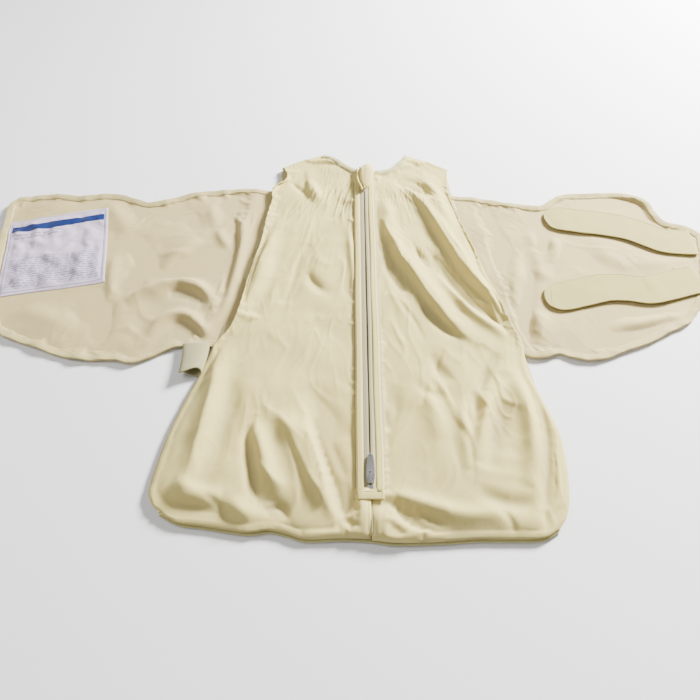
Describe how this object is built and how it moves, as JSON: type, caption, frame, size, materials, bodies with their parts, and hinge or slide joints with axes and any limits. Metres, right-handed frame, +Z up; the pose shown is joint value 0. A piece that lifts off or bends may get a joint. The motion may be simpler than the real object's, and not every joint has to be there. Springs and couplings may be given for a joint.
{
  "type": "baby swaddle sleep sack",
  "caption": "A-line baby sleep sack laid on its back, with a front zip that closes downwards and swaddle wings spread to both sides, one with folded-back fastening tabs.",
  "frame": {"origin": "on the resting plane, under the zip line, level with the underarms", "axes": "+X towards the wing with the fastening tabs, +Y towards the neck, +Z up out of the front of the sack as it lies on its back"},
  "size_m": [0.9602, 0.561, 0.0221],
  "materials": {
    "knit": "soft pale sage cotton interlock knit, matt with a faint nap",
    "knit_inside": "inner side of the same cotton knit, a little greyer",
    "binding": "folded cotton rib binding and seam allowances, matt",
    "strap": "brushed loop strap, pale sage, matt and slightly fuzzy",
    "hook": "woven nylon hook tape, pale, slightly shiny",
    "zip_tape": "woven polyester zip tape, flat and fine",
    "zip_coil": "nylon zip coil and its moulded ends, pale",
    "zip_metal": "zip slider, pull and stop in worn nickel-coloured metal",
    "label": "white satin care label with a dark blue stripe and grey marks"
  },
  "bodies": {
    "sack": {"back_panel": "knit_inside", "back_band": "knit", "hem_seam": "binding", "centre_seam": "binding", "neck_binding_back": "binding", "front_panel_left": "knit", "side_seam_left": "binding", "shoulder_seam_left": "binding", "neck_binding_left": "binding", "armhole_facing_left": "knit", "placket_left": "knit", "zipper_tape_left": "zip_tape", "zipper_coil_left": "zip_coil", "front_panel_right": "knit", "side_seam_right": "binding", "shoulder_seam_right": "binding", "neck_binding_right": "binding", "armhole_facing_right": "knit", "placket_right": "knit", "zipper_tape_right": "zip_tape", "zipper_coil_right": "zip_coil", "zipper_underlay": "knit_inside", "zipper_guard": "knit", "zipper_bottom_stop": "zip_metal", "zipper_retainer_box": "zip_coil", "zipper_insertion_pin": "zip_coil"},
    "slider": {"zipper_slider": "zip_metal"},
    "pull": {"zipper_pull": "zip_metal"},
    "left_wing": {"left_wing": "knit_inside", "left_wing_binding": "binding", "instruction_label": "label", "upper_loop_strip": "strap", "lower_loop_strip": "strap"},
    "right_wing": {"right_wing": "knit_inside", "right_wing_binding": "binding", "upper_tab_anchor": "strap", "lower_tab_anchor": "strap"},
    "upper_tab": {"upper_tab": "strap", "upper_tab_hook": "hook"},
    "lower_tab": {"lower_tab": "strap", "lower_tab_hook": "hook"}
  },
  "joints": [
    {"name": "zipper_slide", "type": "slide", "parent": "sack", "child": "slider", "axis": [0, 1, 0], "range_m": [0, 0.41]},
    {"name": "pull_flip", "type": "hinge", "parent": "slider", "child": "pull", "pos_m": [0, -0.158, 0.0153], "axis": [1, 0, 0], "range_deg": [0, 175]},
    {"name": "left_wing_wrap", "type": "hinge", "parent": "sack", "child": "left_wing", "pos_m": [-0.1555, 0.131, 0.018], "axis": [0.184, 0.9829, 0], "range_deg": [0, 178]},
    {"name": "right_wing_wrap", "type": "hinge", "parent": "sack", "child": "right_wing", "pos_m": [0.1555, 0.131, 0.029], "axis": [0.184, -0.9829, 0], "range_deg": [0, 178]},
    {"name": "upper_tab_open", "type": "hinge", "parent": "right_wing", "child": "upper_tab", "pos_m": [0.4283, 0.162, 0.0064], "axis": [0.2245, 0.9745, 0], "range_deg": [0, 178]},
    {"name": "lower_tab_open", "type": "hinge", "parent": "right_wing", "child": "lower_tab", "pos_m": [0.4151, 0.1046, 0.0064], "axis": [0.2245, 0.9745, 0], "range_deg": [0, 178]}
  ]
}
